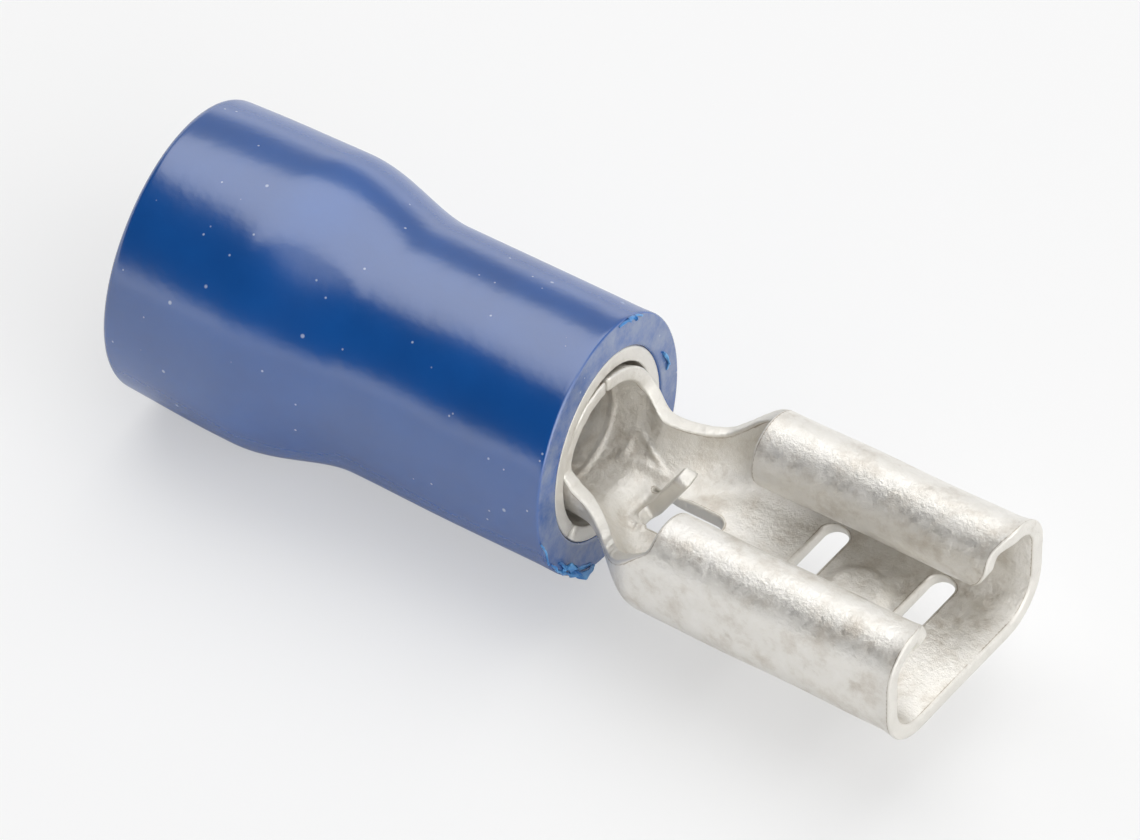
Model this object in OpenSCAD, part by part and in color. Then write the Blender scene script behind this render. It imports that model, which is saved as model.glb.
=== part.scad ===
// Female spade terminal, vinyl insulated, blue (1.5 to 2.5 mm2 wire), for 4.8 x 0.8 mm tabs.
// X runs along the terminal towards the mouth that takes the tab, Z is up.
// The origin is on the wire barrel's axis, at its rear end, where the wire enters it.

/* [Sheet metal] */
// Thickness of the plated brass sheet
sheet_t = 0.35; // [0.3:0.01:0.42]

/* [Wire barrel] */
// Inner diameter of the rolled wire barrel
barrel_bore_d = 2.5; // [2.2:0.05:2.8]
// Length of the wire barrel
barrel_l = 6; // [5:0.1:7]
// Width of the butt seam along the top of the barrel
seam_gap = 0.06; // [0.03:0.01:0.12]
// Length of the barrel's flared front end
flare_l = 0.7; // [0.5:0.05:1]
// Number of grooves inside the barrel that bite into the wire
groove_n = 3; // [1:1:4]
// Width of each groove
groove_w = 0.35; // [0.2:0.01:0.4]
// Depth of each groove
groove_depth = 0.07; // [0.04:0.01:0.1]
// Distance between the middles of the grooves
groove_pitch = 1.2; // [1:0.05:1.4]

/* [Neck] */
// Length of the open neck, from the barrel's front end to the rolls
neck_l = 2.9; // [2.6:0.05:3.4]
// Drop of the receptacle's underside below the barrel's underside
floor_drop = 0.29; // [0:0.01:0.4]
// Distance from the barrel's front end to the lowest point of the neck's side edges
saddle_x = 1.0; // [0.85:0.01:1.2]
// Depth of that lowest point below the barrel's axis
saddle_depth = 0.45; // [0.3:0.01:0.6]
// Height of the neck's side edges where they leave the barrel
barrel_edge_z = 0.48; // [0.3:0.01:0.8]
// Height of the neck's side edges where they meet the rolls
roll_edge_z = 0.08; // [0:0.01:0.2]
// Distance from the barrel's front end to where the side edges turn up to the rolls
rise_x = 2.2; // [2:0.05:2.4]
// Rise of the side edges from their lowest point to there
rise_h = 0.22; // [0.1:0.01:0.3]
// Angle above level that the neck's round sides still turn through at the barrel
barrel_side_turn = 24; // [10:1:40]

/* [Receptacle] */
// Width of the mating tab
tab_w = 4.75; // [4.5:0.05:5]
// Play between the tab's sides and the receptacle's walls, both sides together
tab_play = 0.19; // [0.1:0.01:0.3]
// Length of the two rolls, from their rear ends to the mouth
receptacle_l = 6.25; // [6:0.05:7]
// Outer radius of the bends between the floor and the side walls
floor_bend_r = 1.15; // [0.9:0.01:1.3]
// Outer radius of the rolls
roll_r = 0.87; // [0.8:0.01:0.95]
// Angle that each roll turns through, from the side wall round to its lip
roll_turn = 222; // [205:1:226]
// Radius of the cut-off corners at the rear ends of the lips
lip_corner_r = 0.45; // [0.3:0.01:0.7]
// Depth that the lips are cut back by at the mouth, to lead the tab in
lead_in = 0.6; // [0.4:0.01:0.8]
// Height on the rolls where that cut starts
lead_in_z = 0.72; // [0.6:0.01:0.8]

/* [Floor features] */
// Width of the two transverse slots
slot_w = 0.65; // [0.5:0.01:0.8]
// Length of the two transverse slots
slot_l = 4.3; // [4:0.1:4.5]
// Distance from the mouth to the middle of the front slot
front_slot_x = 1.82; // [1.6:0.01:2]
// Distance between the middles of the two slots
slot_pitch = 2.71; // [2.5:0.01:2.9]
// Width of the raised detent between the slots, along the terminal
detent_w = 1.6; // [1.2:0.05:1.8]
// Length of the raised detent, across the terminal
detent_l = 2.8; // [2.2:0.05:3.2]
// Height of the raised detent
detent_h = 0.16; // [0.1:0.01:0.25]

/* [Tab stop] */
// Length of the window that the stop is bent out of
window_l = 1.74; // [1.5:0.02:1.8]
// Width of the window
window_w = 1.14; // [1:0.02:1.4]
// Distance from the middle of the floor to the middle of the window
window_y = 0.27; // [0.2:0.01:0.35]
// Corner radius of the window at its front end
window_r = 0.3; // [0.05:0.01:0.4]
// Distance from the barrel's front end to the rear end of the window
window_x = 0.76; // [0.7:0.01:0.9]
// Length of the stop's tongue from its bend to its tip
stop_l = 1.33; // [1.1:0.01:1.4]
// Width of the tongue
stop_w = 0.56; // [0.5:0.01:0.65]
// Length of the low lip beside the tongue
stop_lip_l = 0.05; // [0.03:0.01:0.3]
// Forward lean of the stop
stop_lean = 32; // [25:1:40]
// Play between the stop and each side of its window
stop_play = 0.06; // [0.03:0.01:0.1]
// Radius that the tongue's tip is rounded by
stop_tip_r = 0.22; // [0.1:0.01:0.3]
// Inner radius of the bend at the stop's root
stop_bend_r = 0.2; // [0.1:0.01:0.25]

/* [Support sleeve] */
// Wall of the metal support sleeve
support_wall = 0.35; // [0.3:0.01:0.5]
// Play between the barrel and the support sleeve, on the radius
support_play = 0.25; // [0.15:0.01:0.3]
// Clearance between that sleeve and the top of the barrel's flared end, which it is held by
support_seat = 0.01; // [0:0.005:0.02]
// Length of the support sleeve
support_l = 6.3; // [6:0.1:7]
// Width of the support sleeve's open seam
support_seam = 0.25; // [0.1:0.01:0.4]
// Place of that seam round the sleeve, from the top towards the far side
support_seam_turn = 232; // [180:1:270]

/* [Insulation sleeve] */
// Wall of the vinyl over the support sleeve
vinyl_wall = 0.75; // [0.6:0.01:1]
// Wall of the vinyl at the wire entry
entry_wall = 0.65; // [0.5:0.01:0.8]
// Length of the vinyl sleeve
vinyl_l = 11.45; // [11:0.05:13]
// Outer radius of the vinyl at the wire entry
entry_r = 3.38; // [3.25:0.01:3.6]
// Outer radius of the vinyl at the top of the shoulder
shoulder_r = 3.51; // [3.3:0.01:3.7]
// Distance from the front face to the front end of the shoulder
shoulder_x = 5.25; // [5:0.05:5.5]
// Length of the shoulder
shoulder_l = 2.9; // [2.4:0.05:3.1]
// Length of the funnel that leads the wire into the barrel
funnel_l = 1.1; // [0.8:0.05:1.2]
// Radius that the wire entry's rim is rounded by
rim_r = 0.22; // [0.1:0.01:0.28]
// Angle that both ends of the vinyl are cut away from square
cut_skew = 5.4; // [0:0.1:7]
// Depth of the flat under the vinyl, along the line that it lies on
rest_flat = 0.06; // [0:0.01:0.1]

/* [Hidden] */

// What a cut runs past the face that it leaves by
over = 0.5;
round_fn = 96;
barrel_r = barrel_bore_d / 2 + sheet_t;
support_ir = barrel_r + support_play;
support_r = support_ir + support_wall;
vinyl_r = support_r + vinyl_wall;
entry_ir = entry_r - entry_wall;
// The flare widens the barrel upwards only, until its top meets the support sleeve
flare_grow = (support_play - support_seat) / 2;

half_w = (tab_w + tab_play) / 2 + sheet_t;
floor_z = -barrel_r - floor_drop;
roll_y = half_w - roll_r;
mouth_x = neck_l + receptacle_l;
front_slot = mouth_x - front_slot_x;
rear_slot = front_slot - slot_pitch;

// Steps along the neck, and from the middle of its floor to each side edge
neck_steps = 16;
flare_steps = 4;
side_points = 11;
// Above 1, the steps are closer together at the barrel
step_power = 1.15;
// The neck runs this far into the barrel and the rolls, this much inside their skins
neck_lap = 0.12;
skin = 0.008;

// 0 to 1 with level ends
function ease(t) = let (u = min(max(t, 0), 1)) u * u * (3 - 2 * u);
function mix(a, b, t) = a + (b - a) * t;

// The pieces are drawn from the plane of the barrel's front end, and moved by this to the origin
module from_barrel_rear() {
    translate([barrel_l, 0, 0]) children();
}

// ---- shared shapes ----

// A rod along X from x0 to x1
module rod(r, x0, x1) {
    translate([x0, 0, 0]) rotate([0, 90, 0]) cylinder(r = r, h = x1 - x0, $fn = round_fn);
}

// Everything behind a plane across X at x0 that is turned by the cut's skew
module behind(x0, reach) {
    rotate([0, 0, cut_skew])
        translate([x0 - reach, -reach / 2, -reach / 2]) cube(reach);
}

// ---- insulation sleeve ----

// Behind the shoulder the vinyl tapers, slowly at first, down to the wire entry
taper_x = shoulder_x + shoulder_l;
taper_power = 1.6;

// Outer radius of the vinyl at a distance d behind its front face
function vinyl_out(d) =
    d <= taper_x
        ? mix(vinyl_r, shoulder_r, ease((d - shoulder_x) / shoulder_l))
        : mix(shoulder_r, entry_r, pow((d - taper_x) / (vinyl_l - taper_x), taper_power));

// What is below the surface that the sleeve lies on, from its front edge to the top of the shoulder
module under_sleeve() {
    translate([0, 0, rest_flat - vinyl_r])
        rotate([0, -atan2(shoulder_r - vinyl_r, taper_x), 0])
            translate([-2 * vinyl_l, -2 * shoulder_r, -2 * shoulder_r])
                cube([4 * vinyl_l, 4 * shoulder_r, 2 * shoulder_r]);
}

module insulation_sleeve() {
    steps = 40;
    d_rim = vinyl_l - rim_r;
    outline = concat(
        [[-over, vinyl_r]],
        [for (i = [0:steps]) let (d = mix(0, d_rim, i / steps)) [d, vinyl_out(d)]],
        [for (a = [30:30:90]) [d_rim + rim_r * sin(a), vinyl_out(d_rim) - rim_r * (1 - cos(a))]],
        [[vinyl_l + over, vinyl_out(d_rim) - rim_r], [vinyl_l + over, 0], [-over, 0]]
    );
    color("royalblue") from_barrel_rear() intersection() {
        difference() {
            rotate([0, -90, 0]) rotate_extrude($fn = round_fn)
                polygon([for (p = outline) [p[1], p[0]]]);
            rod(support_r, -support_l, 2 * over);
            translate([-support_l, 0, 0]) rotate([0, -90, 0])
                cylinder(r1 = support_r, r2 = entry_ir, h = funnel_l, $fn = round_fn);
            rod(entry_ir, -vinyl_l - 2 * over, -support_l - funnel_l);
            under_sleeve();
        }
        behind(0, 4 * vinyl_l);
        mirror([1, 0, 0]) mirror([0, 1, 0]) behind(vinyl_l, 4 * vinyl_l);
    }
}

// ---- support sleeve ----

module support_sleeve() {
    color("lightgray") from_barrel_rear() intersection() {
        difference() {
            rod(support_r, -support_l, over);
            rod(support_ir, -support_l - over, 2 * over);
            rotate([-support_seam_turn, 0, 0])
                translate([-support_l - over, -support_seam / 2, 0])
                    cube([support_l + 3 * over, support_seam, support_r + over]);
        }
        behind(0, 4 * vinyl_l);
    }
}

// ---- terminal ----

// A flat annular sector of the sheet, from a0 to a1 degrees, of outer radius r
module bend(r, a0, a1) {
    wedge = 2 * r;
    intersection() {
        difference() {
            circle(r = r, $fn = round_fn);
            circle(r = r - sheet_t, $fn = round_fn);
        }
        polygon(concat([[0, 0]],
            [for (i = [0:6]) let (a = mix(a0, a1, i / 6)) wedge * [cos(a), sin(a)]]));
    }
}

// One half of the receptacle's section: floor, bend, wall and roll, in Y and Z
module half_section() {
    translate([0, floor_z]) square([half_w - floor_bend_r, sheet_t]);
    translate([half_w - floor_bend_r, floor_z + floor_bend_r]) bend(floor_bend_r, -90, 0);
    translate([half_w - sheet_t, floor_z + floor_bend_r])
        square([sheet_t, -floor_z - floor_bend_r]);
    translate([roll_y, 0]) bend(roll_r, 0, 180);
    translate([roll_y, 0]) bend(roll_r, 180, roll_turn);
}

module rolls_and_floor() {
    translate([neck_l, 0, 0]) rotate([90, 0, 90]) linear_extrude(receptacle_l) {
        half_section();
        mirror([1, 0]) half_section();
    }
}

// What rounds off the lips' lower corners at the end that lies at x = 0
module lip_corner_cut() {
    lip_z = roll_r * sin(roll_turn);
    reach = roll_y + roll_r * cos(roll_turn) + sheet_t;
    translate([0, 0, lip_z]) difference() {
        translate([-over, -reach, -over]) cube([over + lip_corner_r, 2 * reach, over + lip_corner_r]);
        translate([lip_corner_r, 0, lip_corner_r]) rotate([90, 0, 0])
            cylinder(r = lip_corner_r, h = 3 * reach, center = true, $fn = round_fn);
    }
}

// What cuts the lips back at the mouth, along an arc that starts high on the rolls
module lead_in_cut() {
    h = lead_in_z - roll_r * sin(roll_turn);
    arc_r = (h * h + lead_in * lead_in) / (2 * lead_in);
    translate([mouth_x, 0, lead_in_z]) difference() {
        translate([-lead_in - over, -roll_y, -h - over]) cube([lead_in + 2 * over, 2 * roll_y, h + over]);
        translate([-arc_r, 0, 0]) rotate([90, 0, 0])
            cylinder(r = arc_r, h = 3 * roll_y, center = true, $fn = 2 * round_fn);
    }
}

// An obround hole across the floor
module floor_slot(x) {
    end_y = (slot_l - slot_w) / 2;
    translate([x, 0, floor_z - over]) {
        for (s = [-1, 1]) translate([0, s * end_y, 0])
            cylinder(d = slot_w, h = 2 * over + floor_bend_r, $fn = round_fn);
        translate([-slot_w / 2, -end_y, 0]) cube([slot_w, 2 * end_y, 2 * over + floor_bend_r]);
    }
}

// A shallow dome, longer across than along, whose top lies h above z
module dome(x, z, h, w, l) {
    r = (w * w / 4 + h * h) / (2 * h);
    half = (l - w) / 2;
    sunk = sheet_t / 2;
    intersection() {
        translate([x, 0, z + h - r]) {
            for (s = [-1, 1]) translate([0, s * half, 0]) sphere(r = r, $fn = round_fn);
            rotate([90, 0, 0]) cylinder(r = r, h = 2 * half, center = true, $fn = round_fn);
        }
        translate([x - w, -l, z - sunk]) cube([2 * w, 2 * l, sunk + 2 * h]);
    }
}

module receptacle() {
    detent_x = (front_slot + rear_slot) / 2;
    difference() {
        union() {
            rolls_and_floor();
            dome(detent_x, floor_z + sheet_t, detent_h, detent_w, detent_l);
        }
        floor_slot(front_slot);
        floor_slot(rear_slot);
        lead_in_cut();
        translate([neck_l, 0, 0]) lip_corner_cut();
        dome(detent_x, floor_z, detent_h, detent_w, detent_l);
    }
}

// ---- neck ----

// How far the section has opened from the barrel's (0) to the receptacle's (1)
open_from = 0.12 * neck_l;
open_to = 0.87 * neck_l;
drop_to = 0.3 * neck_l;
straight_from = 0.3 * neck_l;
flare_end = 0.2 * neck_l;
function opened(x) = ease((x - open_from) / (open_to - open_from));
// Radius of the barrel's flared end, which dies away into the neck
function flared(x) = barrel_r + flare_grow * (x < 0 ? ease(1 + x / flare_l) : 1 - ease(x / flare_end));
function neck_half(x) = mix(flared(x), half_w, opened(x));
function neck_bend(x) = mix(flared(x), floor_bend_r, opened(x));
function neck_floor(x) = mix(-barrel_r, floor_z, ease(x / drop_to));
// Angle above level that the section's round side still turns through, as the barrel does
function side_turn(x) = mix(barrel_side_turn, 0, ease(x / straight_from));

// Height of the side edges: down from the barrel in an arc, along the saddle, up to the rolls
saddle_z = -saddle_depth;
rise_z = saddle_z + rise_h;
rise_power = 1.6;
function arc(t) = sqrt(1 - pow(1 - min(max(t, 0), 1), 2));
function neck_edge(x) =
    x < saddle_x ? mix(barrel_edge_z, saddle_z, arc(x / saddle_x))
    : x < rise_x ? mix(saddle_z, rise_z, pow((x - saddle_x) / (rise_x - saddle_x), rise_power))
    : mix(roll_edge_z, rise_z, arc((neck_l - x) / (neck_l - rise_x)));

// The section's outer path starts on the middle of the floor: flat, round side up to an
// angle of turn above level, straight side
function flat_len(x) = neck_half(x) - neck_bend(x);
function round_len(x, turn) = neck_bend(x) * (90 + turn) * PI / 180;
// Height where the round side ends
function round_top(x) = neck_floor(x) + neck_bend(x) * (1 + sin(side_turn(x)));
function path_len(x) = let (r = neck_bend(x), top = neck_edge(x))
    top < round_top(x)
        ? flat_len(x) + r * (90 + asin((top - neck_floor(x) - r) / r)) * PI / 180
        : flat_len(x) + round_len(x, side_turn(x)) + (top - round_top(x)) / cos(side_turn(x));

// Point [y, z] at a distance s along the path, on a skin that lies off inside the outer one
function path_point(x, s, off, turn) =
    let (r = neck_bend(x), flat = flat_len(x), zc = neck_floor(x) + r)
    s < flat ? [s, neck_floor(x) + off]
    : let (a = min(-90 + (s - flat) / r * 180 / PI, turn), rest = s - flat - round_len(x, turn))
        [flat + (r - off) * cos(a), zc + (r - off) * sin(a)]
        + max(rest, 0) * [-sin(turn), cos(turn)];

// One closed loop round the sheet: the outer skin from side to side, the inner one back.
// c is where the section is taken, x where the loop is drawn.
function sheet_loop(x, c, len, turn, inset) =
    let (n = side_points)
    let (outer = [for (i = [-n:n])
        let (p = path_point(c, abs(i) / n * len, inset, turn)) [x, sign(i) * p[0], p[1]]])
    let (inner = [for (i = [-n:n])
        let (p = path_point(c, abs(i) / n * len, sheet_t - inset, turn)) [x, sign(i) * p[0], p[1]]])
    concat(outer, [for (i = [2 * n:-1:0]) inner[i]]);

// A solid through such loops, with both ends closed
module loft(loops) {
    m = len(loops[0]);
    last = (len(loops) - 1) * m;
    polyhedron(
        points = [for (l = loops) each l],
        faces = concat(
            [for (k = [0:len(loops) - 2], i = [0:m - 1]) let (a = k * m + i, b = k * m + (i + 1) % m)
                each [[a, a + m, b], [b, a + m, b + m]]],
            [for (i = [0:m / 2 - 2]) each [[i, i + 1, m - 1 - i], [i + 1, m - 2 - i, m - 1 - i]]],
            [for (i = [0:m / 2 - 2])
                each [[last + i, last + m - 1 - i, last + i + 1],
                      [last + i + 1, last + m - 1 - i, last + m - 2 - i]]]
        )
    );
}

module neck() {
    xs = concat([-neck_lap], [for (i = [0:neck_steps]) neck_l * pow(i / neck_steps, step_power)],
        [neck_l + neck_lap]);
    loft([for (x = xs) let (c = min(x, neck_l), e = max(x, 0))
        sheet_loop(x, c, x < 0 ? path_len(0) : path_len(min(e, neck_l)), side_turn(max(c, 0)), 2 * skin)]);
}

// The barrel's flared front end, all round but for the seam
module flare() {
    xs = concat([-flare_l - neck_lap], [for (i = [0:flare_steps]) -flare_l * (1 - i / flare_steps)]);
    loft([for (x = xs) let (r = flared(max(x, -flare_l)), turn = 90 - asin(seam_gap / 2 / r))
        sheet_loop(x, max(x, -flare_l), r * (90 + turn) * PI / 180, turn, skin)]);
}

// ---- tab stop ----

// The hole that the stop leaves in the floor
module window() {
    through = 2 * over + sheet_t;
    translate([window_x, window_y, floor_z - over]) {
        translate([0, -window_w / 2, 0]) cube([window_l - window_r, window_w, through]);
        translate([0, -window_w / 2 + window_r, 0]) cube([window_l, window_w - 2 * window_r, through]);
        for (s = [-1, 1])
            translate([window_l - window_r, s * (window_w / 2 - window_r), 0])
                cylinder(r = window_r, h = through, $fn = 32);
    }
}

// The stop in the flat: a low lip across the window and a tongue with a rounded tip at its far side
module stop_outline() {
    width = window_w - 2 * stop_play;
    left = width / 2 - stop_w;
    translate([0, -width / 2]) square([stop_lip_l, width]);
    translate([0, left]) square([stop_l - stop_tip_r, stop_w]);
    translate([0, left + stop_tip_r]) square([stop_l, stop_w - 2 * stop_tip_r]);
    for (y = [left + stop_tip_r, width / 2 - stop_tip_r])
        translate([stop_l - stop_tip_r, y]) circle(r = stop_tip_r, $fn = 48);
}

// The stop: bent up from the window's rear end
module tab_stop() {
    width = window_w - 2 * stop_play;
    // The stop's root is buried in the floor for this length
    tail = 0.2;
    turn = 90 - stop_lean;
    translate([window_x, window_y, floor_z + sheet_t + stop_bend_r]) {
        translate([-tail, -width / 2, -stop_bend_r - sheet_t + skin])
            cube([tail + skin, width, sheet_t - 2 * skin]);
        rotate([90, 0, 0]) intersection() {
            difference() {
                cylinder(r = stop_bend_r + sheet_t, h = width, center = true, $fn = round_fn);
                cylinder(r = stop_bend_r, h = width + over, center = true, $fn = 32);
            }
            linear_extrude(width, center = true)
                polygon([for (a = [-90, -90 + turn / 2, -90 + turn]) [cos(a), sin(a)], [0, 0]]);
        }
        rotate([0, stop_lean, 0]) translate([stop_bend_r + sheet_t, 0, 0]) rotate([0, -90, 0])
            linear_extrude(sheet_t) stop_outline();
    }
}

// ---- terminal ----

// The straight part of the barrel, with its bore, grooves and seam
module barrel() {
    groove_x = -barrel_l / 2 - flare_l / 2;
    difference() {
        rod(barrel_r, -barrel_l, -flare_l);
        rod(barrel_bore_d / 2, -barrel_l - over, over);
        for (i = [0:groove_n - 1]) let (x = groove_x + (i - (groove_n - 1) / 2) * groove_pitch)
            rod(barrel_bore_d / 2 + groove_depth, x - groove_w / 2, x + groove_w / 2);
        translate([-barrel_l - over, -seam_gap / 2, 0])
            cube([barrel_l + 2 * over, seam_gap, barrel_r + over]);
    }
}

module terminal() {
    color("gainsboro") from_barrel_rear() {
        barrel();
        flare();
        difference() {
            neck();
            window();
        }
        tab_stop();
        receptacle();
    }
}

insulation_sleeve();
support_sleeve();
terminal();
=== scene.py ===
import math

import bmesh
import bpy
import numpy as np
from mathutils import Matrix, Vector, geometry, kdtree


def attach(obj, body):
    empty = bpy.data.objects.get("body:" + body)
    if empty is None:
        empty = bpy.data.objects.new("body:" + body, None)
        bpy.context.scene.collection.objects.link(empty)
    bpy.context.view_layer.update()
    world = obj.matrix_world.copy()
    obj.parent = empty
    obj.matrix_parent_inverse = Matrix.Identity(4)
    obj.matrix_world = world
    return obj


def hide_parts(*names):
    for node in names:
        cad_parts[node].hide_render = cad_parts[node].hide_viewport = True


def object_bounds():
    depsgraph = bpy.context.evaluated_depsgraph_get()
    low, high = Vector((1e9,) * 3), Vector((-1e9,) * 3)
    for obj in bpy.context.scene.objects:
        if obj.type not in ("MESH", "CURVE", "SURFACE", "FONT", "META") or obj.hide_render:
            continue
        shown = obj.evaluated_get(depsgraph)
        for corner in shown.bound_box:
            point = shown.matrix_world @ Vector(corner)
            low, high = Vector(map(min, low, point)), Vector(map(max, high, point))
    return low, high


MM = 0.001
FRONT = 6.0  # the barrel's front end, where the shapes below have x = 0

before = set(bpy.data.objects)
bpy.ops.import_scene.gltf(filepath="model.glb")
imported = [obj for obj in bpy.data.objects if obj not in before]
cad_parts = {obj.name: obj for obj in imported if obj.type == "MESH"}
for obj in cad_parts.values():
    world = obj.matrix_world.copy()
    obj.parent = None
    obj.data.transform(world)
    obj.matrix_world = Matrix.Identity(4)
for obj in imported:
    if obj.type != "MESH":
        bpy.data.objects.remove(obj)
cad_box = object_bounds()

# ---- sizes, in millimetres and degrees ----

# The stamping: radii and widths are those of its outside, and places are from the barrel's front end
SHEET_T = 0.35
BARREL_R, BARREL_L, SEAM_HALF = 1.6, 6.0, 0.03
FLARE_L, FLARE = 0.7, 0.12
NECK_L, DROP_L, SIDE_TURN = 2.9, 0.882, 24
FLOOR_Z, HALF_W, MOUTH = -1.89, 2.82, 9.15
BEND_R, ROLL_R, ROLL_TURN, ROLL_CORNER_R = 1.15, 0.87, 222, 0.15
# The lips are cut back at the mouth, from one angle round the roll and over a turn from there,
# and cut back further from another angle to their ends
LEAD_FROM, LEAD_TURN, LEAD_CUT = 92, 55, 0.26
TIP_FROM, TIP_CUT = 168, 0.46
# The mouth is belled over a short length
BELL_L, BELL = 0.55, 0.08
# Grooves inside the barrel and a ridge in front of them, by how far they are behind its front end
GROOVES, GROOVE_HALF, GROOVE_DEPTH = (1.35, 2.55, 3.75), 0.22, 0.07
RIDGE, RIDGE_HALF, RIDGE_H = 0.78, 0.1, 0.05
# Slots across the floor: their places, the radius of their ends and where those ends are centred
SLOTS, SLOT_R, SLOT_END = (4.62, 7.33), 0.325, 1.825
# The detent, an oval with a level top: its middle, where its round ends are centred, their radius,
# the share of that radius that slopes, and its height
DETENT, DETENT_END, DETENT_R, DETENT_SLOPE, DETENT_H = 5.975, 0.6, 0.85, 0.42, 0.17
# The tab stop with its root, bend and tongue, its window, and the low lip beside the tongue
STOP_X, STOP_BEND, STOP_ANGLE, STOP_REACH = 0.68, 0.25, math.radians(58), 1.31
STOP_NEAR, STOP_FAR, STOP_TIP_R = 0.21, 0.76, 0.17
WINDOW_NEAR, WINDOW_FAR, WINDOW_END, WINDOW_R = -0.29, 0.84, 2.5, 0.3
LIP_END, LIP_R = 0.94, 0.24

# The support sleeve
SUPPORT_T, SUPPORT_R, SUPPORT_L = 0.35, 2.2, 6.3
SUPPORT_SEAM, SUPPORT_SEAM_HALF = math.radians(232), 0.12

# The vinyl. Lengths along it are from its front face
VINYL_R, SHOULDER_R, ENTRY_R = 2.95, 3.51, 3.38
SHOULDER, SHOULDER_L, VINYL_L = 5.25, 2.9, 11.45
ENTRY_BORE_R, FUNNEL_L = 2.73, 1.1
FRONT_ROUND, REAR_ROUND = 0.07, 0.22
# How far its ends lean out of square for each millimetre of y and z, fading over this length
FRONT_SKEW, REAR_SKEW, SKEW_L = (-0.094, -0.036), (-0.103, 0.038), 4


def ease(t):
    """0 to 1 with level ends."""
    t = np.clip(t, 0, 1)
    return t * t * (3 - 2 * t)


def mix(a, b, t):
    """From a at 0 to b at 1."""
    return a + (b - a) * t


def waves(p, seed, scale):
    """Smooth noise from a few sines, about -1 to 1, for an array of points."""
    rng = np.random.default_rng(seed)
    total = 0
    for _ in range(6):
        k = rng.normal(size=p.shape[1])
        k = k / np.linalg.norm(k) * scale * rng.uniform(0.6, 1.6)
        total = total + np.sin(p @ k + rng.uniform(0, 6.28))
    return total / 3.2


# ---- mesh helpers ----

def make_object(name, verts, faces, mat, **marks):
    """verts in millimetres from the barrel's front end. marks: numbers for the shader, one a vertex."""
    mesh = bpy.data.meshes.new(name)
    pts = (np.asarray(verts, float) + [FRONT, 0, 0]) * MM
    mesh.from_pydata(pts.tolist(), [], faces)
    for key, values in marks.items():
        mark = mesh.attributes.new(key, "FLOAT", "POINT")
        mark.data.foreach_set("value", np.asarray(values, np.float32))
    bm = bmesh.new()
    bm.from_mesh(mesh)
    bmesh.ops.remove_doubles(bm, verts=bm.verts, dist=1e-8)
    bmesh.ops.recalc_face_normals(bm, faces=bm.faces)
    bm.to_mesh(mesh)
    bm.free()
    mesh.shade_smooth()
    obj = bpy.data.objects.new(name, mesh)
    bpy.context.collection.objects.link(obj)
    mesh.materials.append(mat)
    return obj


def arc_points(cx, cy, r, a0, a1, n):
    """n points on an arc from the angle a0 to a1, in degrees."""
    a = np.radians(np.linspace(a0, a1, n))
    return [(cx + r * math.cos(v), cy + r * math.sin(v)) for v in a]


def resample(pts, step):
    """Even points along a closed line."""
    p = np.vstack([pts, pts[:1]])
    d = np.r_[0, np.cumsum(np.linalg.norm(np.diff(p, axis=0), axis=1))]
    n = max(8, int(round(d[-1] / step)))
    s = np.linspace(0, d[-1], n, endpoint=False)
    return np.stack([np.interp(s, d, p[:, i]) for i in (0, 1)], 1)


def soften(pts, rounds):
    """Each point of a closed line drawn towards its neighbours, a number of times."""
    for _ in range(rounds):
        pts = (np.roll(pts, 1, 0) + 2 * pts + np.roll(pts, -1, 0)) / 4
    return pts


def area(p):
    """Area in a closed line, below 0 where it runs clockwise."""
    return 0.5 * np.sum(p[:, 0] * np.roll(p[:, 1], -1) - np.roll(p[:, 0], -1) * p[:, 1])


def inward(pts, hole):
    """Unit normals of a closed line that point into the sheet."""
    d = np.roll(pts, -1, 0) - np.roll(pts, 1, 0)
    n = np.stack([-d[:, 1], d[:, 0]], 1) / (np.linalg.norm(d, axis=1)[:, None] + 1e-12)
    return n if (area(pts) > 0) != hole else -n


def inside(points, ring):
    """True for points inside a closed line."""
    x, y = points[:, 0], points[:, 1]
    hit = np.zeros(len(points), bool)
    for (x0, y0), (x1, y1) in zip(ring, np.roll(ring, -1, 0)):
        if y0 == y1:
            continue
        cross = (y0 > y) != (y1 > y)
        if cross.any():
            hit ^= cross & (x < (x1 - x0) * (y - y0) / (y1 - y0) + x0)
    return hit


def in_sheet(points, rings):
    """True for points inside the first closed line and outside the others."""
    keep = inside(points, rings[0])
    for ring in rings[1:]:
        keep &= ~inside(points, ring)
    return keep


def fill_points(outline, rings, step):
    """Rows of points over the outline, kept where they are in the sheet and clear of its rings."""
    lo, hi = outline.min(0), outline.max(0)
    columns, rows = np.arange(lo[0], hi[0], step), np.arange(lo[1], hi[1], step * 0.87)
    gx, gy = np.meshgrid(columns, rows, indexing="ij")
    gx = gx + (np.arange(gy.shape[1]) % 2) * step * 0.5
    grid = np.stack([gx.ravel(), gy.ravel()], 1)
    grid = grid[in_sheet(grid, rings)]
    border = np.vstack(rings)
    tree = kdtree.KDTree(len(border))
    for i, p in enumerate(border):
        tree.insert((p[0], p[1], 0), i)
    tree.balance()
    return np.array([g for g in grid if tree.find((g[0], g[1], 0))[2] > step * 0.45])


def triangles(rings, grid):
    """All points of the sheet, with those of its rings first, and the triangles between them."""
    edges, start = [], 0
    for ring in rings:
        n = len(ring)
        edges += [(start + i, start + (i + 1) % n) for i in range(n)]
        start += n
    flat = np.vstack(rings + [grid])
    out = geometry.delaunay_2d_cdt([Vector(p) for p in flat], edges, [], 0, 1e-9)
    assert len(out[0]) == len(flat), "points were merged"
    order = [o[0] for o in out[3]]
    tris = np.array([[order[i] for i in f] for f in out[2]])
    return flat, tris[in_sheet(flat[tris].mean(1), rings)]


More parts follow.
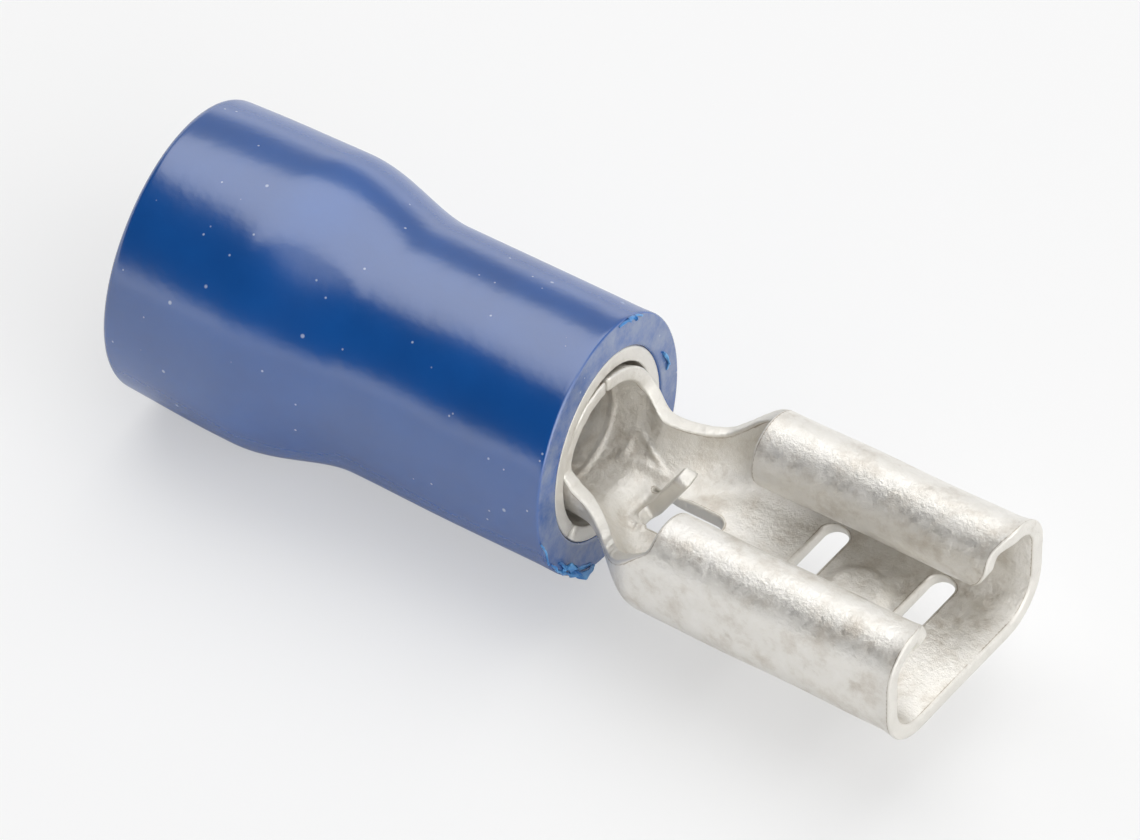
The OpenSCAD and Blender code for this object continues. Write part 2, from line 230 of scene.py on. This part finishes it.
def thick_sheet(name, rings, fold, thick, edge, step, mat, fine=()):
    """A sheet with holes, cut out in the flat, then folded. rings[0] is its outline and the rest
    are holes, with closer points on those in fine. fold(points, depth) gives places in space.
    Its edges are rounded by the radius edge."""
    rings = [resample(r, step * (0.35 if i in fine else 0.7)) for i, r in enumerate(rings)]
    normals = [soften(inward(r, i > 0), 2) for i, r in enumerate(rings)]
    inner = [r + n * edge for r, n in zip(rings, normals)]
    flat, tris = triangles(inner, fill_points(rings[0], inner, step))
    n_flat, n_ring = len(flat), sum(len(r) for r in rings)

    # both faces of the sheet. The mark is 0 on them, 0.5 where they end and 1 on the cut edge
    verts = [fold(flat, np.zeros(n_flat)), fold(flat, np.full(n_flat, thick))]
    mark = [np.r_[np.full(n_ring, 0.5), np.zeros(n_flat - n_ring)]] * 2
    faces = [tuple(t) for t in tris] + [tuple(t[::-1] + n_flat) for t in tris]

    # the cut edge, in rows of points from one face to the other: how far in from it, and how deep
    corner = [(1 - math.sin(a), 1 - math.cos(a)) for a in np.radians([0, 22.5, 45, 67.5, 90])]
    side = [(edge * o, edge * d) for o, d in corner] + [(0, thick / 2)]
    side += [(edge * o, thick - edge * d) for o, d in reversed(corner)]
    all_rings, all_normals = np.vstack(rings), np.vstack(normals)
    rows, base = [np.arange(n_ring)], 2 * n_flat
    for o, d in side[1:-1]:
        verts.append(fold(all_rings + all_normals * o, np.full(n_ring, d)))
        mark.append(np.ones(n_ring))
        rows.append(base + np.arange(n_ring))
        base += n_ring
    rows.append(n_flat + np.arange(n_ring))
    start = 0
    for r in rings:
        n = len(r)
        this = start + np.arange(n)
        following = start + (np.arange(n) + 1) % n
        for a, b in zip(rows[:-1], rows[1:]):
            faces += [(a[i], a[j], b[j], b[i]) for i, j in zip(this, following)]
        start += n
    faces = [tuple(int(i) for i in f) for f in faces]
    return make_object(name, np.vstack(verts), faces, mat, edge=np.concatenate(mark))


# ---- the stamping ----

def flared(x):
    """Radius of the barrel, and of the neck where it leaves it."""
    return BARREL_R + FLARE * np.where(x < 0, np.clip(1 + x / FLARE_L, 0, 1), 1 - ease(x / (0.2 * NECK_L)))


def opened(x):
    """How far the neck has changed at x from the barrel, 0, to the receptacle, 1."""
    return ease((x - 0.12 * NECK_L) / (0.75 * NECK_L))


def half_at(x):
    """Half the width outside."""
    return mix(flared(x), HALF_W, opened(x))


def bend_at(x):
    """Outer radius of the bend between floor and side."""
    return mix(flared(x), BEND_R, opened(x))


def floor_at(x):
    """Height of the underside."""
    return mix(-BARREL_R, FLOOR_Z, ease(x / DROP_L))


def turn_at(x):
    """How far above level that bend goes on, in radians."""
    return np.where(x < 0.05, math.pi / 2, math.radians(SIDE_TURN) * (1 - ease(x / (0.3 * NECK_L))))


# Height of the neck's free edges, from the barrel to the rolls. Above 0 it is a length round the roll
EDGE_X = [0, 0.11, 0.37, 0.66, 1.0, 1.3, 1.5, 1.7, 1.9, 2.2, 2.5, NECK_L]
FAR_Z = [0.80, 0.575, 0.15, -0.05, -0.22, -0.35, -0.395, -0.36, -0.23, 0.0, 0.28, 0.62]
NEAR_Z = [0.42, 0.30, -0.12, -0.35, -0.47, -0.49, -0.47, -0.42, -0.31, -0.08, 0.2, 0.55]


def edge_z(x, side):
    """Height of the neck's free edge. side is 1 on the far side and -1 on the near side."""
    fine = np.linspace(-0.3, NECK_L + 0.3, 400)
    z = np.interp(fine, EDGE_X, FAR_Z if side > 0 else NEAR_Z)
    for _ in range(60):
        z[1:-1] = (z[:-2] + 2 * z[1:-1] + z[2:]) / 4
    return np.interp(x, fine, z)


def edge_s(x, side):
    """Length in the flat from the middle of the floor to the neck's free edge."""
    r, z, flat, turn = bend_at(x), edge_z(x, side), half_at(x) - bend_at(x), turn_at(x)
    top = floor_at(x) + r * (1 + np.sin(turn))
    below = flat + r * (math.pi / 2 + np.arcsin(np.clip((z - floor_at(x) - r) / r, -1, 1)))
    above = flat + r * (math.pi / 2 + turn) + (z - top) / np.cos(turn)
    return np.where(z < top, below, above)


# Lengths in the flat from the middle of the floor: to the top of the wall, and round to the lip
WALL_S = (HALF_W - BEND_R) + BEND_R * math.pi / 2 + (-FLOOR_Z - BEND_R)
LIP_S = WALL_S + ROLL_R * math.radians(ROLL_TURN)
STOP_ARC = (STOP_BEND + SHEET_T / 2) * STOP_ANGLE
STOP_TIP = STOP_X + STOP_ARC + STOP_REACH

# Creases in the neck's inside: the ends, in the flat, how far a line stands up, and its half width
CREASES = [(-0.15, 1.87, 0.62, 1.45, 0.035, 0.12), (-0.15, 1.87, -0.25, 0.96, 0.03, 0.12),
           (-0.25, 0.96, 0.75, 1.30, 0.04, 0.2), (0.1, 1.6, 0.1, 1.2, -0.03, 0.26),
           (0.45, -1.75, 0.85, -1.05, 0.04, 0.18), (0.60, -0.95, 0.66, 0.95, -0.035, 0.14)]


def pleat(x, s, x0, s0, x1, s1, height, half):
    """A soft line that stands height above the sheet, for points in the flat."""
    d = np.array([x1 - x0, s1 - s0])
    along = np.clip(((x - x0) * d[0] + (s - s0) * d[1]) / (d @ d), 0, 1)
    away = np.hypot(x - x0 - along * d[0], s - s0 - along * d[1])
    return height * np.clip(1 - away / half, 0, 1) * ease(along / 0.2 + 0.3)


def relief(x, s):
    """How far the sheet's inside stands up, for points in the flat."""
    groove = sum(np.clip(1 - np.abs(x + g) / GROOVE_HALF, 0, 1) ** 0.6 for g in GROOVES)
    ridge = np.clip(1 - np.abs(x + RIDGE) / RIDGE_HALF, 0, 1)
    crease = sum(pleat(x, s, *line) for line in CREASES)
    return RIDGE_H * ridge - GROOVE_DEPTH * groove + crease


def on_stop(x, s):
    """True for points in the flat that are bent up with the stop. The limits run in the gaps round it."""
    hit = (x > STOP_X) & (x < STOP_TIP + 0.02)
    hit &= (s < (STOP_FAR + WINDOW_FAR) / 2) & (s > WINDOW_NEAR - 0.12)
    hit &= (s > STOP_NEAR - 0.06) | (x < LIP_END + 0.21)
    corner = np.hypot(x - WINDOW_END + WINDOW_R, s - WINDOW_FAR + WINDOW_R)
    return hit & ((x < WINDOW_END - WINDOW_R) | (s < WINDOW_FAR - WINDOW_R) | (corner < WINDOW_R - 0.035))


def fold_terminal(p, t):
    """The stamping's shape: places in space for points in the flat at a depth t into the sheet."""
    x, s = p[:, 0].copy(), p[:, 1]
    tongue = on_stop(x, s)
    past_root = np.where(tongue, x - STOP_X, 0)
    x = np.where(tongue, STOP_X, x)
    c = np.minimum(x, NECK_L)
    a, side = np.abs(s), np.where(s < 0, -1.0, 1.0)
    r, flat, turn = bend_at(c), half_at(c) - bend_at(c), turn_at(c)
    zf = floor_at(c)

    # the mouth is belled a little, and the sheet isn't dead flat
    bell = BELL * np.clip((x - (MOUTH - BELL_L)) / BELL_L, 0, 1) ** 2
    wobble = 0.012 * waves(np.stack([x, s], 1), 3, 1.7) * ease((x - 0.2) / 1.5)
    t = t - bell - wobble + relief(x, s) * (t > SHEET_T / 2)

    # the floor, the bend at its side and the straight wall above that
    angle = np.minimum(-math.pi / 2 + (a - flat) / r, turn)
    rest = np.maximum(a - flat - r * (math.pi / 2 + turn), 0)
    y = np.where(a < flat, a, flat + (r - t) * np.cos(angle) - rest * np.sin(turn))
    z = np.where(a < flat, zf + t, zf + r + (r - t) * np.sin(angle) + rest * np.cos(turn))

    # above z = 0 the wall turns in, round the roll's own axis
    over = rest + zf + r
    rolled = (c > 1.9) & (over > 0)
    phi = over / ROLL_R
    y = np.where(rolled, half_at(c) - ROLL_R + (ROLL_R - t) * np.cos(phi), y)
    z = np.where(rolled, (ROLL_R - t) * np.sin(phi), z)

    # the raised detent
    d = np.hypot(x - DETENT, np.maximum(np.abs(s) - DETENT_END, 0)) / DETENT_R
    z = z + DETENT_H * ease((1 - d) / DETENT_SLOPE)

    # the stop is bent up round its root. The bend fades out at its near end
    lift = ease((s - WINDOW_NEAR + 0.01) / 0.25)
    psi = np.minimum(past_root / (STOP_BEND + SHEET_T / 2), STOP_ANGLE)
    straight = np.maximum(past_root - STOP_ARC, 0)
    rr = STOP_BEND + SHEET_T - t
    up = rr - rr * np.cos(psi) + straight * math.sin(STOP_ANGLE)
    along = rr * np.sin(psi) + straight * math.cos(STOP_ANGLE)
    x = np.where(tongue, STOP_X + mix(past_root, along, lift), x)
    z = np.where(tongue, z + up * lift, z)
    return np.stack([x, y * side, z], 1)


def half_outline(side):
    """Outline of one half in the flat, from the barrel's seam round to the middle of the mouth."""
    pts = [(x, math.pi * float(flared(x)) - SEAM_HALF) for x in np.linspace(-BARREL_L, 0, 40)]
    low = float(edge_s(0.0, side))
    pts += [(0, s) for s in np.linspace(pts[-1][1], low, 20)[1:-1]]
    pts += [(x, float(edge_s(x, side))) for x in NECK_L * (np.linspace(0, 1, 60) ** 1.3)]
    # up the roll's rear end, a little in front of the neck's last point, and round its corner
    pts[-1] = (NECK_L - 0.02, pts[-1][1])
    c = ROLL_CORNER_R
    pts += [(NECK_L, s) for s in np.linspace(pts[-1][1] + 0.1, LIP_S - c, 14)]
    pts += arc_points(NECK_L + c, LIP_S - c, c, 180, 90, 6)[1:]
    # down the front of the lip, which is cut back, and across the mouth
    for phi in np.linspace(ROLL_TURN, LEAD_FROM, 27):
        tip = max(0.0, (phi - TIP_FROM) / (ROLL_TURN - TIP_FROM))
        cut = LEAD_CUT * float(ease((phi - LEAD_FROM) / LEAD_TURN)) + TIP_CUT * tip ** 1.5
        pts.append((MOUTH - cut, WALL_S + ROLL_R * math.radians(phi)))
    pts += [(MOUTH, s) for s in np.linspace(pts[-1][1], 0, 40)[1:]]
    return pts


def stamping_outline():
    """Outline of the whole stamping in the flat."""
    far = half_outline(1)
    near = [(x, -s) for x, s in half_outline(-1)][::-1]
    outline = soften(resample(np.array(far[:-1] + near), 0.045), 6)
    # the neck's sheared edges are a little ragged
    rng = np.random.default_rng(5)
    rough = soften(rng.normal(size=(len(outline), 2)), 2) * 0.008
    here = ease((outline[:, 0] + 0.3) / 0.3) * (1 - ease((outline[:, 0] - 2.2) / 0.6))
    return outline + rough * here[:, None]


def slot_outline(x):
    ends = arc_points(x, SLOT_END, SLOT_R, 0, 180, 14) + arc_points(x, -SLOT_END, SLOT_R, 180, 360, 14)
    return resample(np.array(ends), 0.05)


def window_outline():
    """The window round the stop: its front end, then the lip's end and round the tongue."""
    c, k, root = WINDOW_R, STOP_TIP_R, STOP_X + 0.02
    near, far, end = WINDOW_NEAR, WINDOW_FAR, WINDOW_END
    hole = [(root, far)]
    hole += arc_points(end - c, far - c, c, 90, 0, 8)
    hole += arc_points(end - c, near + c, c, 0, -90, 8)
    hole += arc_points(LIP_END + LIP_R, near + LIP_R, LIP_R, 270, 180, 8)
    hole += [(LIP_END + a, STOP_NEAR - b) for a, b in ((0, 0.1), (0.04, 0.02), (0.1, 0))]
    hole += arc_points(STOP_TIP - k, STOP_NEAR + k, k, -90, 0, 6)
    hole += arc_points(STOP_TIP - k, STOP_FAR - k, k, 0, 90, 6)
    hole += [(root, STOP_FAR)]
    return soften(resample(np.array(hole), 0.02), 2)


# ---- the support sleeve ----

def skewed(y, z, skew):
    """How far along X an end is from square, at a place across the terminal."""
    return skew[0] * y + skew[1] * z


def fold_support(p, t):
    """The support sleeve's shape: places in space for points in the flat at a depth t."""
    a = SUPPORT_SEAM + p[:, 1] / SUPPORT_R
    # its outside is a hair clear of the vinyl
    r = SUPPORT_R - 0.004 - t
    y, z = r * np.sin(a), r * np.cos(a)
    x = p[:, 0] + skewed(y, z, FRONT_SKEW) * np.clip(1 + p[:, 0] / SKEW_L, 0, 1)
    return np.stack([x, y, z], 1)


def support_outline():
    front = -0.02
    s0, s1 = SUPPORT_SEAM_HALF, 2 * math.pi * SUPPORT_R - SUPPORT_SEAM_HALF
    pts = np.array([(-SUPPORT_L, s0), (front, s0), (front, s1), (-SUPPORT_L, s1)], float)
    return soften(resample(pts, 0.06), 3)


# ---- the vinyl ----

def vinyl_out(d):
    """Outer radius of the vinyl at a distance d behind its front face."""
    taper = SHOULDER + SHOULDER_L
    if d <= taper:
        return mix(VINYL_R, SHOULDER_R, float(ease((d - SHOULDER) / SHOULDER_L)))
    return mix(SHOULDER_R, ENTRY_R, ((d - taper) / (VINYL_L - taper)) ** 1.6)


def vinyl_profile():
    """(distance behind the front face, radius) round the wall, and how many of them are outside."""
    bore, entry = SUPPORT_R, ENTRY_BORE_R
    pts = [(FRONT_ROUND * (1 - math.sin(a)), VINYL_R - FRONT_ROUND * (1 - math.cos(a)))
           for a in np.radians([90, 67.5, 45, 22.5, 0])]
    rim = VINYL_L - REAR_ROUND
    pts += [(d, vinyl_out(d)) for d in np.linspace(2 * FRONT_ROUND, rim, 120)]
    pts += [(rim + REAR_ROUND * math.sin(a), vinyl_out(rim) - REAR_ROUND * (1 - math.cos(a)))
            for a in np.radians(np.linspace(12, 90, 7))]
    pts += [(VINYL_L, 3.0)]
    outside = len(pts)
    pts += [(VINYL_L, 2.8), (VINYL_L - 0.03, entry + 0.02), (VINYL_L - 0.08, entry)]
    pts += [(d, entry) for d in np.linspace(VINYL_L - 0.3, SUPPORT_L + FUNNEL_L + 0.05, 20)]
    pts += [(SUPPORT_L + f, mix(bore, entry, f / FUNNEL_L)) for f in np.linspace(1.08, 0.02, 8)]
    pts += [(d, bore) for d in np.linspace(SUPPORT_L - 0.02, 0.1, 24)]
    pts += [(0.03, bore + 0.01), (0.0, bore + 0.05)]
    pts += [(0, r) for r in np.linspace(bore + 0.12, 2.84, 8)]
    return np.array(pts), outside


def make_vinyl(mat):
    profile, outside = vinyl_profile()
    n, m = 240, len(profile)
    a = np.linspace(0, 2 * math.pi, n, endpoint=False)
    sa, ca = np.sin(a)[:, None], np.cos(a)[:, None]
    d, r = np.tile(profile[:, 0], (n, 1)), np.tile(profile[:, 1], (n, 1))
    # the outside is uneven, and on the whole a little smaller than its nominal radius
    p = np.stack([(d * 0.9).ravel(), (r * sa).ravel(), (r * ca).ravel()], 1)
    wave = waves(p, 11, 0.9).reshape(n, m) * 0.022 + waves(p, 12, 2.2).reshape(n, m) * 0.008
    r2 = r + (wave - 0.016) * (np.arange(m) < outside) * ease(d / 0.6)
    y, z = r2 * sa, r2 * ca
    front = skewed(y, z, FRONT_SKEW) * np.clip(1 - d / SKEW_L, 0, 1) ** 2
    back = skewed(y, z, REAR_SKEW) * np.clip(1 - (VINYL_L - d) / SKEW_L, 0, 1) ** 2
    verts = np.stack([(front + back - d).ravel(), y.ravel(), z.ravel()], 1)
    faces = []
    for i in range(n):
        k = (i + 1) % n
        for j in range(m):
            q = (j + 1) % m
            faces.append((i * m + j, k * m + j, k * m + q, i * m + q))
    return make_object("insulation", verts, faces, mat, cut=(d < 0.02).ravel())


# Shavings that the cutter left on the vinyl's front edge: first and last angle, radius, width, lift
BURRS = [(197, 224, 2.90, 0.20, 0.10), (203, 236, 2.80, 0.13, 0.20), (214, 231, 2.70, 0.22, 0.10),
         (226, 243, 2.88, 0.15, 0.08), (12, 27, 2.91, 0.12, 0.05), (22, 31, 2.86, 0.08, 0.07),
         (70, 83, 2.50, 0.10, 0.03), (246, 262, 2.90, 0.06, 0.03)]
# Rows of points along a shaving, points in a row, and half its thickness
BURR_ROWS, BURR_COLS, BURR_HALF = 36, 8, 0.022


def shaving(rng, first, last, radius, width, lift):
    """The points of one shaving, a twisted ribbon that wanders along the edge and tapers out."""
    q = np.linspace(0, 1, BURR_ROWS)
    wander = [soften(rng.normal(size=(BURR_ROWS, 1)), 25)[:, 0] * 2.2 for _ in range(4)]
    a = np.radians(mix(first, last, q) + 2.5 * wander[0])
    r = radius + 0.06 * wander[1]
    rise = 0.015 + lift * np.sin(math.pi * q) ** 2 * (0.7 + wander[2])
    twist = 1.3 * wander[3] + 2 * q
    half = width / 2 * np.sin(math.pi * np.clip(q, 0.02, 0.98)) ** 0.5
    pts = []
    for i in range(BURR_ROWS):
        radial = np.array([0, math.sin(a[i]), math.cos(a[i])])
        face = skewed(radial[1] * r[i], radial[2] * r[i], FRONT_SKEW)
        centre = radial * r[i] + [face + rise[i], 0, 0]
        across = radial * math.cos(twist[i]) + np.array([abs(math.sin(twist[i])), 0, 0])
        across = across / np.linalg.norm(across)
        upward = np.cross(across, [0, math.cos(a[i]), -math.sin(a[i])])
        for b in 2 * math.pi * np.arange(BURR_COLS) / BURR_COLS:
            pts.append(centre + across * half[i] * math.cos(b) + upward * BURR_HALF * math.sin(b))
    return pts


def make_burrs(mat):
    rng = np.random.default_rng(21)
    verts, faces = [], []
    for burr in BURRS:
        start = len(verts)
        verts += shaving(rng, *burr)
        rows = start + np.arange(BURR_ROWS * BURR_COLS).reshape(BURR_ROWS, BURR_COLS)
        for a, b in zip(rows[:-1].tolist(), rows[1:].tolist()):
            for j in range(BURR_COLS):
                k = (j + 1) % BURR_COLS
                faces.append((a[j], a[k], b[k], b[j]))
        faces.append(tuple(rows[0].tolist()))
        faces.append(tuple(rows[-1].tolist()))
    return make_object("burrs", verts, faces, mat)


# ---- materials ----

class Shader:
    """A node tree, with short ways to add nodes to it. An input takes a socket or a value."""

    def __init__(self, tree, space):
        self.nodes, self.links = tree.nodes, tree.links
        self.coord = self.add("TexCoord").outputs[space]

    def feed(self, socket, value):
        """Links an input to a socket, or sets it to a value."""
        if isinstance(value, bpy.types.NodeSocket):
            self.links.new(value, socket)
        else:
            socket.default_value = value

    def add(self, kind, inputs=None, **settings):
        n = self.nodes.new("ShaderNode" + kind)
        for key, value in settings.items():
            setattr(n, key, value)
        for key, value in (inputs or {}).items():
            self.feed(n.inputs[key], value)
        return n

    def surface(self, inputs):
        """Sets the inputs of the material's own surface."""
        for key, value in inputs.items():
            self.feed(self.nodes["Principled BSDF"].inputs[key], value)

    def mark(self, name):
        return self.add("Attribute", attribute_name=name).outputs["Fac"]

    def noise(self, scale, detail, roughness=0.5):
        inputs = {"Vector": self.coord, "Scale": scale, "Detail": detail, "Roughness": roughness}
        return self.add("TexNoise", inputs).outputs["Fac"]

    def ramp(self, value, stops):
        """stops: a place and a grey or a colour for each."""
        n = self.add("ValToRGB", {"Fac": value})
        elements = n.color_ramp.elements
        while len(elements) < len(stops):
            elements.new(0.5)
        for i, (place, colour) in enumerate(stops):
            elements[i].position = place
            rgb = colour if isinstance(colour, tuple) else (colour, colour, colour)
            elements[i].color = (*rgb, 1)
        return n.outputs["Color"]

    def maths(self, operation, *values):
        return self.add("Math", dict(enumerate(values)), operation=operation).outputs[0]

    def mixed(self, share, first, second):
        """first where share is 0, and second where it is 1."""
        inputs = {"Factor": share, "A": first, "B": (*second, 1)}
        return self.add("Mix", inputs, data_type="RGBA").outputs["Result"]

    def bump(self, height, strength, distance, **under):
        inputs = {"Height": height, "Strength": strength, "Distance": distance, **under}
        return self.add("Bump", inputs).outputs["Normal"]

    def specks(self, scale, size, share):
        """Round specks, 1 on a speck. Some cells have one, up to size of the cell across."""
        cell = self.add("TexVoronoi", {"Vector": self.coord, "Scale": scale})
        dot = self.ramp(cell.outputs["Distance"], [(size * 0.6, 1), (size, 0)])
        parts = self.add("SeparateColor", {"Color": cell.outputs["Color"]})
        chosen = self.maths("GREATER_THAN", parts.outputs["Red"], share)
        return self.maths("MULTIPLY", dot, chosen)

    def towards(self, direction, low, high):
        """0 to 1 as a direction turns towards the one given."""
        dot = self.add("VectorMath", {0: self.coord, 1: direction}, operation="DOT_PRODUCT")
        return self.ramp(dot.outputs["Value"], [(low, 0), (high, 1)])


def new_material(name):
    m = bpy.data.materials.new(name)
    m.use_nodes = True
    return m, Shader(m.node_tree, "Object")


def vinyl_material():
    m, shader = new_material("vinyl")
    deep, light = (0.001, 0.063, 0.27), (0.002, 0.079, 0.33)
    dust, scuff = (0.35, 0.42, 0.6), (0.22, 0.27, 0.38)
    blue = shader.ramp(shader.noise(500, 3), [(0.3, deep), (0.7, light)])
    dusty = shader.maths("MAXIMUM", shader.specks(2600, 0.085, 0.45), shader.specks(1300, 0.075, 0.62))
    # the cut end is scuffed paler
    scuffs = shader.ramp(shader.noise(1500, 5, 0.7), [(0.35, 0.05), (0.7, 0.75)])
    scuffed = shader.maths("MULTIPLY", shader.mark("cut"), scuffs)
    grain = shader.bump(shader.noise(6000, 4), 0.14, 0.00002)
    shader.surface({
        "Base Color": shader.mixed(scuffed, shader.mixed(dusty, blue, dust), scuff),
        "Roughness": 0.22,
        "Specular IOR Level": 0.95,
        "IOR": 1.7,
        "Normal": shader.bump(shader.noise(1100, 2), 0.2, 0.00005, Normal=grain),
    })
    return m


def burr_material():
    m, shader = new_material("vinyl_burr")
    deep, light = (0.02, 0.15, 0.45), (0.13, 0.38, 0.70)
    shader.surface({
        "Base Color": shader.ramp(shader.noise(3000, 3), [(0.3, deep), (0.7, light)]),
        "Roughness": 0.35,
    })
    return m


def tin_material(name):
    m, shader = new_material(name)
    dull, plain, bright = (0.67, 0.62, 0.55), (0.855, 0.829, 0.775), (0.90, 0.878, 0.836)
    cut, brown = (0.80, 0.775, 0.72), (0.36, 0.29, 0.21)
    # the cut edges have one colour, and the faces are mottled
    mottled = shader.ramp(shader.noise(1400, 6, 0.65), [(0.30, dull), (0.5, plain), (0.7, bright)])
    edge = shader.mark("edge")
    clean = shader.mixed(shader.ramp(edge, [(0.55, 0), (0.75, 1)]), mottled, cut)
    # brown grime gathers in spots and along the borders of the cut edges
    border = shader.ramp(edge, [(0.3, 0), (0.47, 1), (0.53, 1), (0.7, 0)])
    blots = shader.noise(1900, 4, 0.6)
    line = shader.maths("MULTIPLY", border, shader.ramp(blots, [(0.34, 0), (0.56, 0.85)]))
    grime = shader.maths("MAXIMUM", line, shader.ramp(blots, [(0.63, 0), (0.86, 0.5)]))
    # the plating is polished in some spots and matt in others
    polish = shader.noise(5000, 5, 0.6)
    shader.surface({
        "Base Color": shader.mixed(grime, clean, brown),
        "Metallic": shader.ramp(polish, [(0.36, 0.40), (0.64, 0.78)]),
        "Roughness": shader.ramp(polish, [(0.36, 0.38), (0.64, 0.29)]),
        "Normal": shader.bump(shader.noise(8000, 6, 0.7), 0.68, 0.00004),
    })
    return m


# ---- the object ----

vinyl, tin, support_tin = vinyl_material(), tin_material("tin"), tin_material("tin_support")
for name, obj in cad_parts.items():
    obj.data.materials.clear()
    obj.data.materials.append(vinyl if name == "insulation_sleeve" else tin)

insulation = make_vinyl(vinyl)
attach(insulation, "root")
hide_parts("insulation_sleeve")

burrs = make_burrs(burr_material())
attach(burrs, "root")

stamping_rings = [stamping_outline()] + [slot_outline(x) for x in SLOTS] + [window_outline()]
stamping = thick_sheet("stamping", stamping_rings, fold_terminal, SHEET_T,
                       edge=0.06, step=0.07, mat=tin, fine=(3,))
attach(stamping, "root")
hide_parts("terminal")

support = thick_sheet("support", [support_outline()], fold_support, SUPPORT_T,
                      edge=0.05, step=0.16, mat=support_tin)
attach(support, "root")
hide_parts("support_sleeve")


# ---- camera, floor and light ----

WHITE = (1, 1, 1, 1)
# The camera's direction from the object, its roll, and its place along its own axes from the
# barrel's front end, in millimetres
CAM_AZIMUTH, CAM_HEIGHT, CAM_ROLL = 36.55, 42.52, -1.188
CAM_RIGHT, CAM_UP, CAM_BACK = -0.83, 0.5253, 174.71
CAM_LENS, CAM_SENSOR = 259.3, 36


def add_camera():
    az, el, roll = math.radians(CAM_AZIMUTH), math.radians(CAM_HEIGHT), math.radians(CAM_ROLL)
    back = Vector((math.sin(az) * math.cos(el), -math.cos(az) * math.cos(el), math.sin(el)))
    right = Vector((math.cos(az), math.sin(az), 0))
    up = back.cross(right)
    right, up = right * math.cos(roll) + up * math.sin(roll), up * math.cos(roll) - right * math.sin(roll)
    data = bpy.data.cameras.new("camera")
    data.sensor_width = CAM_SENSOR
    data.lens = CAM_LENS
    data.clip_start, data.clip_end = 0.01, 5
    cam = bpy.data.objects.new("camera", data)
    bpy.context.collection.objects.link(cam)
    spot = Vector((FRONT, 0, 0)) + right * CAM_RIGHT + up * CAM_UP + back * CAM_BACK
    turn = Matrix((right, up, back)).transposed().to_4x4()
    cam.matrix_world = Matrix.Translation(spot * MM) @ turn
    bpy.context.scene.camera = cam


def add_floor():
    bpy.ops.mesh.primitive_plane_add(size=3, location=(0, 0, cad_box[0].z))
    floor = bpy.context.object
    floor.name = "floor"
    m, shader = new_material("floor")
    shader.surface({"Base Color": (0.86, 0.86, 0.86, 1), "Roughness": 1, "Specular IOR Level": 0})
    # part of it glows white: much of what the camera sees, and a little of what is reflected
    path = shader.add("LightPath")
    seen = shader.maths("MULTIPLY", path.outputs["Is Camera Ray"], 0.45)
    glow = shader.maths("MULTIPLY_ADD", path.outputs["Is Glossy Ray"], 0.1, seen)
    white = shader.add("Emission", {"Color": WHITE, "Strength": 1.0})
    matt = shader.nodes["Principled BSDF"]
    blend = shader.add("MixShader", {"Fac": glow, 1: matt.outputs[0], 2: white.outputs[0]})
    shader.feed(shader.nodes["Material Output"].inputs["Surface"], blend.outputs[0])
    floor.data.materials.append(m)


def add_light(name, direction, size, power, distance=0.4):
    """An area lamp that faces the origin, with sizes and distance in metres."""
    data = bpy.data.lights.new(name, "AREA")
    data.shape = "RECTANGLE"
    data.size, data.size_y = size
    data.energy = power
    lamp = bpy.data.objects.new(name, data)
    bpy.context.collection.objects.link(lamp)
    d = Vector(direction).normalized()
    lamp.location = d * distance
    lamp.rotation_mode = "QUATERNION"
    lamp.rotation_quaternion = d.to_track_quat("Z", "Y")


def add_world():
    world = bpy.data.worlds.new("world")
    bpy.context.scene.world = world
    world.use_nodes = True
    shader = Shader(world.node_tree, "Generated")
    height = shader.add("SeparateXYZ", {"Vector": shader.coord}).outputs["Z"]
    # the room is bright near the horizon and dimmer above it
    far = shader.ramp(height, [(0.0, 1.35), (0.12, 1.3), (0.3, 0.40), (1.0, 0.5)])
    # the mouth's side of it is bright, and the rear side behind the camera is dark
    mouth_side = shader.towards((0.77, -0.64, 0), 0.0, 0.5)
    rear_side = shader.towards((-0.5, -0.866, 0), 0.2, 0.42)
    dark = shader.maths("MULTIPLY", rear_side, shader.ramp(height, [(0.1, 0), (0.24, 1)]))
    lit = shader.mixed(mouth_side, far, (1.15, 1.15, 1.15))
    room = shader.nodes["Background"]
    shader.feed(room.inputs["Color"], shader.mixed(dark, lit, (0.03, 0.03, 0.03)))
    # the camera sees plain white instead of the room
    white = shader.add("Background", {"Color": WHITE})
    path = shader.add("LightPath")
    swap = shader.add("MixShader", {"Fac": path.outputs["Is Camera Ray"], 1: room.outputs[0],
                                    2: white.outputs[0]})
    shader.feed(shader.nodes["World Output"].inputs["Surface"], swap.outputs[0])


add_camera()
add_floor()
add_world()
add_light("softbox", (-0.2, 0.314, 0.928), (0.5, 0.42), 0.95)
add_light("fill", (0.83, -0.33, 0.45), (0.4, 0.4), 0.65)
bpy.context.scene.view_settings.view_transform = "Standard"
